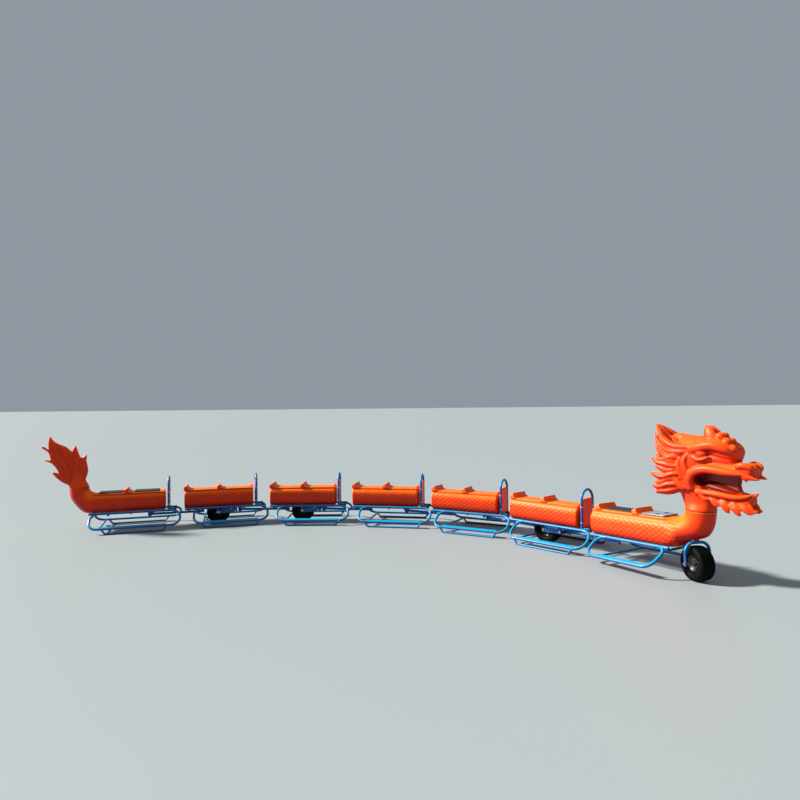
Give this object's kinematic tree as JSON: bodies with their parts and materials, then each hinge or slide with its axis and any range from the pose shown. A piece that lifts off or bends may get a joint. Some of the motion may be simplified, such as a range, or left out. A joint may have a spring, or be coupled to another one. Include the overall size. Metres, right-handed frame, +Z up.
{
  "type": "articulated dragon ice train",
  "caption": "Articulated dragon-shaped seat train on blue sled frames with footrests, grab hoops, driven wheels and a steered front wheel.",
  "frame": {"origin": "on the ice at the middle of the train's box, with the cars on the curve they stand on in the picture", "axes": "+X along the train from tail towards head, +Y to the train's left, +Z up"},
  "size_m": [8.0778, 4.2604, 1.4857],
  "materials": {
    "orange_plastic": "rotation-moulded, satin",
    "blue_paint": "gloss enamel on steel tube",
    "tyre": "matte rubber",
    "black_pad": "matte seat mat",
    "pale_cover": "satin sheet",
    "wheel_steel": "dull pressed steel"
  },
  "bodies": {
    "tail_car": {"tail_hull": "orange_plastic", "tail_frame": "blue_paint", "tail_hoop": "blue_paint", "tail_hoop_panel": "orange_plastic", "tail_fin": "orange_plastic", "tail_rear_pad": "black_pad", "tail_front_pad": "black_pad"},
    "car2_car": {"car2_hull": "orange_plastic", "car2_frame": "blue_paint", "car2_hoop": "blue_paint", "car2_hoop_panel": "orange_plastic", "car2_swing_arm": "blue_paint", "car2_motor": "blue_paint"},
    "car2_wheel": {"car2_tyre": "tyre", "car2_rim": "wheel_steel"},
    "car3_car": {"car3_hull": "orange_plastic", "car3_frame": "blue_paint", "car3_hoop": "blue_paint", "car3_hoop_panel": "orange_plastic", "car3_swing_arm": "blue_paint", "car3_motor": "blue_paint"},
    "car3_wheel": {"car3_tyre": "tyre", "car3_rim": "wheel_steel"},
    "car4_car": {"car4_hull": "orange_plastic", "car4_frame": "blue_paint", "car4_hoop": "blue_paint", "car4_hoop_panel": "orange_plastic"},
    "car5_car": {"car5_hull": "orange_plastic", "car5_frame": "blue_paint", "car5_hoop": "blue_paint", "car5_hoop_panel": "orange_plastic"},
    "car6_car": {"car6_hull": "orange_plastic", "car6_frame": "blue_paint", "car6_hoop": "blue_paint", "car6_hoop_panel": "orange_plastic", "car6_swing_arm": "blue_paint", "car6_motor": "blue_paint"},
    "car6_wheel": {"car6_tyre": "tyre", "car6_rim": "wheel_steel"},
    "head_car": {"head_hull": "orange_plastic", "head_frame": "blue_paint", "dragon_head": "orange_plastic", "head_pad": "black_pad", "head_cover": "pale_cover"},
    "steering": {"fork": "blue_paint"},
    "front_wheel": {"front_tyre": "tyre", "front_rim": "wheel_steel"}
  },
  "joints": [
    {"name": "hitch_head_car6", "type": "hinge", "parent": "head_car", "child": "car6_car", "pos_m": [2.8428, -0.09089, 0.178], "axis": [0, 0, 1], "range_deg": [-35.8, 8.2]},
    {"name": "hitch_car6_car5", "type": "hinge", "parent": "car6_car", "child": "car5_car", "pos_m": [1.99683, 0.81708, 0.178], "axis": [0, 0, 1], "range_deg": [-39.5, 4.5]},
    {"name": "hitch_car5_car4", "type": "hinge", "parent": "car5_car", "child": "car4_car", "pos_m": [0.91677, 1.42765, 0.178], "axis": [0, 0, 1], "range_deg": [-40.6, 3.4]},
    {"name": "hitch_car4_car3", "type": "hinge", "parent": "car4_car", "child": "car3_car", "pos_m": [-0.30136, 1.66188, 0.178], "axis": [0, 0, 1], "range_deg": [-32.5, 11.5]},
    {"name": "hitch_car3_car2", "type": "hinge", "parent": "car3_car", "child": "car2_car", "pos_m": [-1.54229, 1.67136, 0.178], "axis": [0, 0, 1], "range_deg": [-38.7, 5.3]},
    {"name": "hitch_car2_tail", "type": "hinge", "parent": "car2_car", "child": "tail_car", "pos_m": [-2.73286, 1.32375, 0.178], "axis": [0, 0, 1], "range_deg": [-23.9, 20.1]},
    {"name": "steering", "type": "hinge", "parent": "head_car", "child": "steering", "pos_m": [3.65075, -1.53791, 0.363], "axis": [0, 0, 1], "range_deg": [-18, 52]},
    {"name": "front_wheel_spin", "type": "hinge", "parent": "steering", "child": "front_wheel", "pos_m": [3.65075, -1.53791, 0.165], "axis": [0.9774, 0.2113, 0], "continuous": true},
    {"name": "car2_wheel_spin", "type": "hinge", "parent": "car2_car", "child": "car2_wheel", "pos_m": [-1.83503, 1.58576, 0.165], "axis": [-0.2807, 0.9598, 0], "continuous": true},
    {"name": "car3_wheel_spin", "type": "hinge", "parent": "car3_car", "child": "car3_wheel", "pos_m": [-0.60635, 1.664, 0.165], "axis": [0.007, 1, 0], "continuous": true},
    {"name": "car6_wheel_spin", "type": "hinge", "parent": "car6_car", "child": "car6_wheel", "pos_m": [2.63479, 0.13217, 0.165], "axis": [0.7314, 0.682, 0], "continuous": true}
  ]
}
